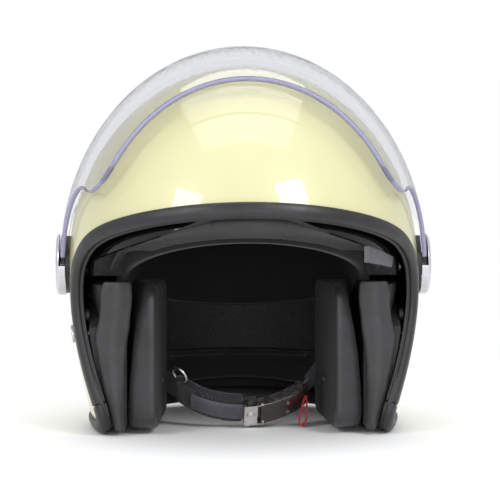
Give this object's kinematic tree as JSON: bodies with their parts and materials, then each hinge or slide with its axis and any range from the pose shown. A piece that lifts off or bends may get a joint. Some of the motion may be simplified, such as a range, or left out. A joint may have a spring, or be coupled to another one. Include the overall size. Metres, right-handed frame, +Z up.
{
  "type": "open face motorcycle helmet",
  "caption": "Open face motorcycle helmet with a raised clear bubble visor on side pivots, inner smoke sun visor, leatherette padding and ratchet chin strap.",
  "frame": {"origin": "middle of the helmet's plan, on the plane that its lower rim rests on", "axes": "+Z up, the face looks along -Y, +X is the wearer's left; the visor's pivots lie along X"},
  "size_m": [0.2686, 0.2756, 0.273],
  "materials": {
    "shell_paint": "gloss cream paint with clear coat",
    "trim_rubber": "satin",
    "foam": "expanded bead foam",
    "lining_cloth": "brushed knit",
    "leatherette": "semi-matt grained",
    "visor_clear": "clear polycarbonate",
    "visor_smoke": "smoke polycarbonate",
    "cap_silver": "satin silver",
    "black_plastic": "moulded",
    "grey_plastic": "moulded",
    "steel": "plated",
    "webbing": "woven polyester",
    "sleeve_cloth": "padded knit",
    "red_webbing": "woven"
  },
  "bodies": {
    "helmet": {"outer_shell": "shell_paint", "face_trim": "trim_rubber", "neck_trim": "trim_rubber", "foam_liner": "foam", "crown_lining": "lining_cloth", "brow_pad": "leatherette", "neck_roll": "lining_cloth", "neck_roll_piping": "lining_cloth", "cheek_pad_studs": "black_plastic", "visor_base_plate_left": "black_plastic", "visor_base_plate_right": "black_plastic", "pivot_screw_left": "steel", "pivot_screw_right": "steel", "pivot_washer_left": "steel", "pivot_washer_right": "steel", "sun_visor_bush_left": "black_plastic", "sun_visor_bush_right": "black_plastic", "sun_visor_clip_left": "steel", "sun_visor_clip_right": "steel", "cheek_base_left": "foam", "cheek_base_right": "foam", "cheek_bolster_outer_left": "leatherette", "cheek_bolster_outer_right": "leatherette", "cheek_bolster_inner_left": "leatherette", "cheek_bolster_inner_right": "leatherette", "anchor_webbing_left": "webbing", "anchor_webbing_right": "webbing", "anchor_plate_left": "steel", "anchor_plate_right": "steel", "anchor_rivet_left": "steel", "anchor_rivet_right": "steel", "anchor_spacer_left": "steel", "anchor_spacer_right": "steel"},
    "visor": {"visor_lens": "visor_clear", "visor_cap_left": "cap_silver", "visor_cap_right": "cap_silver"},
    "sun_visor": {"sun_visor_lens": "visor_smoke", "sun_visor_tab": "grey_plastic", "sun_visor_hub_left": "black_plastic", "sun_visor_hub_right": "black_plastic"},
    "chin_strap": {"strap_webbing": "webbing", "strap_sleeve": "sleeve_cloth", "buckle_frame": "steel", "buckle_rivet": "steel", "lever_pin": "steel", "lever_spring": "steel", "lock_ring": "steel", "lock_ring_tab": "webbing"},
    "buckle_lever": {"buckle_lever": "black_plastic", "lever_studs": "steel", "pull_ribbon": "red_webbing"},
    "ratchet_tongue": {"ratchet_tongue": "grey_plastic", "tongue_webbing": "webbing"}
  },
  "joints": [
    {"name": "visor_hinge", "type": "hinge", "parent": "helmet", "child": "visor", "pos_m": [0, -0.0075, 0.117], "axis": [1, 0, 0], "range_deg": [0, 80]},
    {"name": "sun_visor_hinge", "type": "hinge", "parent": "helmet", "child": "sun_visor", "pos_m": [0, -0.0075, 0.117], "axis": [1, 0, 0], "range_deg": [0, 32]},
    {"name": "strap_swing", "type": "hinge", "parent": "helmet", "child": "chin_strap", "pos_m": [0, -0.0075, 0.032], "axis": [1, 0, 0], "range_deg": [-15, 70]},
    {"name": "lever_hinge", "type": "hinge", "parent": "chin_strap", "child": "buckle_lever", "pos_m": [0.01321, -0.02801, 0.01149], "axis": [0, 0.7071, -0.7071], "range_deg": [0, 30], "stiffness_Nm_per_rad": 0.05, "springref_deg": -11.46},
    {"name": "tongue_slide", "type": "hinge", "parent": "chin_strap", "child": "ratchet_tongue", "pos_m": [-0.003, 0.01796, 0.05746], "axis": [0, 0.7071, -0.7071], "range_deg": [-3.8, 3.8]}
  ]
}
